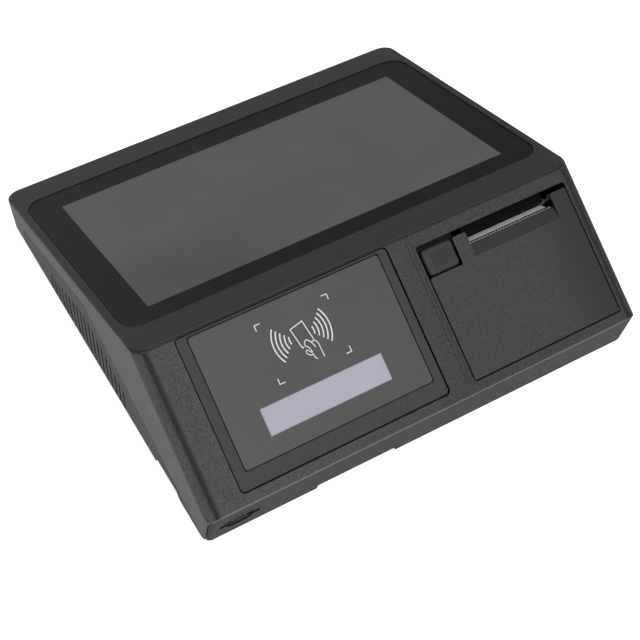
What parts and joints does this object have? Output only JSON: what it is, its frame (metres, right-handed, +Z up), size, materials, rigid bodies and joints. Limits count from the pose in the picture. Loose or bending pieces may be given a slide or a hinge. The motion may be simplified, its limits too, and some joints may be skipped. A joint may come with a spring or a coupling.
{
  "type": "self checkout kiosk",
  "caption": "Wedge-shaped countertop checkout terminal: sloping touch display behind, customer tap panel and flip-lid receipt printer on the front slope.",
  "frame": {"origin": "centre of the footprint on the counter surface", "axes": "+X to the customer's right, +Y away from the customer, +Z up"},
  "size_m": [0.309, 0.3013, 0.0926],
  "materials": {
    "upper_housing": "coarse spark-textured black moulding, finer on the display surround",
    "lower_housing": "textured black moulding",
    "cover_glass": "black back-printed cover glass, satin",
    "display_module": "dark display panel",
    "display_bracket": "zinc-plated sheet",
    "main_board": "green solder mask",
    "heat_sink": "extruded fins",
    "customer_panel_frame": "fine textured black moulding",
    "customer_lens": "clear lens printed black on its back",
    "customer_lcd": "pale backlit segment display",
    "nfc_antenna_board": "circuit board",
    "printer_cradle": "black moulding",
    "thermal_head": "dark anodised carrier",
    "motor_bracket": "zinc-plated sheet",
    "feed_motor": "plated can",
    "drive_gear": "acetal",
    "platen_roller": "ground rubber on steel shaft",
    "platen_gear": "acetal",
    "printer_lid": "fine textured black moulding",
    "tear_bar": "stamped steel",
    "hinge_pin": "ground steel",
    "release_button": "textured black moulding",
    "paper_roll": "thermal paper",
    "paper_core": "plastic core",
    "paper_tongue": "thermal paper",
    "port_board": "plated shell on a board",
    "io_board": "green solder mask",
    "network_jack": "plated shell",
    "usb_ports": "plated shell",
    "dc_inlet": "black moulding",
    "speaker": "black moulding",
    "rubber_feet": "soft rubber",
    "housing_screws": "blackened steel"
  },
  "bodies": {
    "housing": {"upper_housing": "upper_housing", "lower_housing": "lower_housing", "cover_glass": "cover_glass", "display_module": "display_module", "display_bracket": "display_bracket", "main_board": "main_board", "heat_sink": "heat_sink", "customer_panel_frame": "customer_panel_frame", "customer_lens": "customer_lens", "customer_lcd": "customer_lcd", "nfc_antenna_board": "nfc_antenna_board", "printer_cradle": "printer_cradle", "thermal_head": "thermal_head", "motor_bracket": "motor_bracket", "feed_motor": "feed_motor", "hinge_pin": "hinge_pin", "port_board": "port_board", "io_board": "io_board", "network_jack": "network_jack", "usb_ports": "usb_ports", "dc_inlet": "dc_inlet", "speaker": "speaker", "rubber_feet": "rubber_feet", "housing_screws": "housing_screws"},
    "lid": {"printer_lid": "printer_lid", "tear_bar": "tear_bar", "paper_tongue": "paper_tongue"},
    "platen": {"platen_roller": "platen_roller", "platen_gear": "platen_gear"},
    "drive": {"drive_gear": "drive_gear"},
    "button": {"release_button": "release_button"},
    "paper": {"paper_roll": "paper_roll", "paper_core": "paper_core"}
  },
  "joints": [
    {"name": "lid_hinge", "type": "hinge", "parent": "housing", "child": "lid", "pos_m": [0, -0.1432, 0.03772], "axis": [1, 0, 0], "range_deg": [0, 85]},
    {"name": "platen_spin", "type": "hinge", "parent": "lid", "child": "platen", "pos_m": [0, -0.07413, 0.07025], "axis": [1, 0, 0], "continuous": true},
    {"name": "drive_spin", "type": "hinge", "parent": "housing", "child": "drive", "pos_m": [0, -0.06646, 0.05396], "axis": [1, 0, 0], "continuous": true},
    {"name": "button_push", "type": "slide", "parent": "housing", "child": "button", "axis": [0, 0.5476, -0.8368], "range_m": [0, 0.0025], "stiffness_N_per_m": 400, "springref_m": -0.002},
    {"name": "paper_spin", "type": "hinge", "parent": "housing", "child": "paper", "pos_m": [0, -0.09737, 0.03496], "axis": [1, 0, 0], "continuous": true}
  ],
  "couplings": [
    {"joint": "drive_spin", "follows": "platen_spin", "ratio": -0.8}
  ]
}
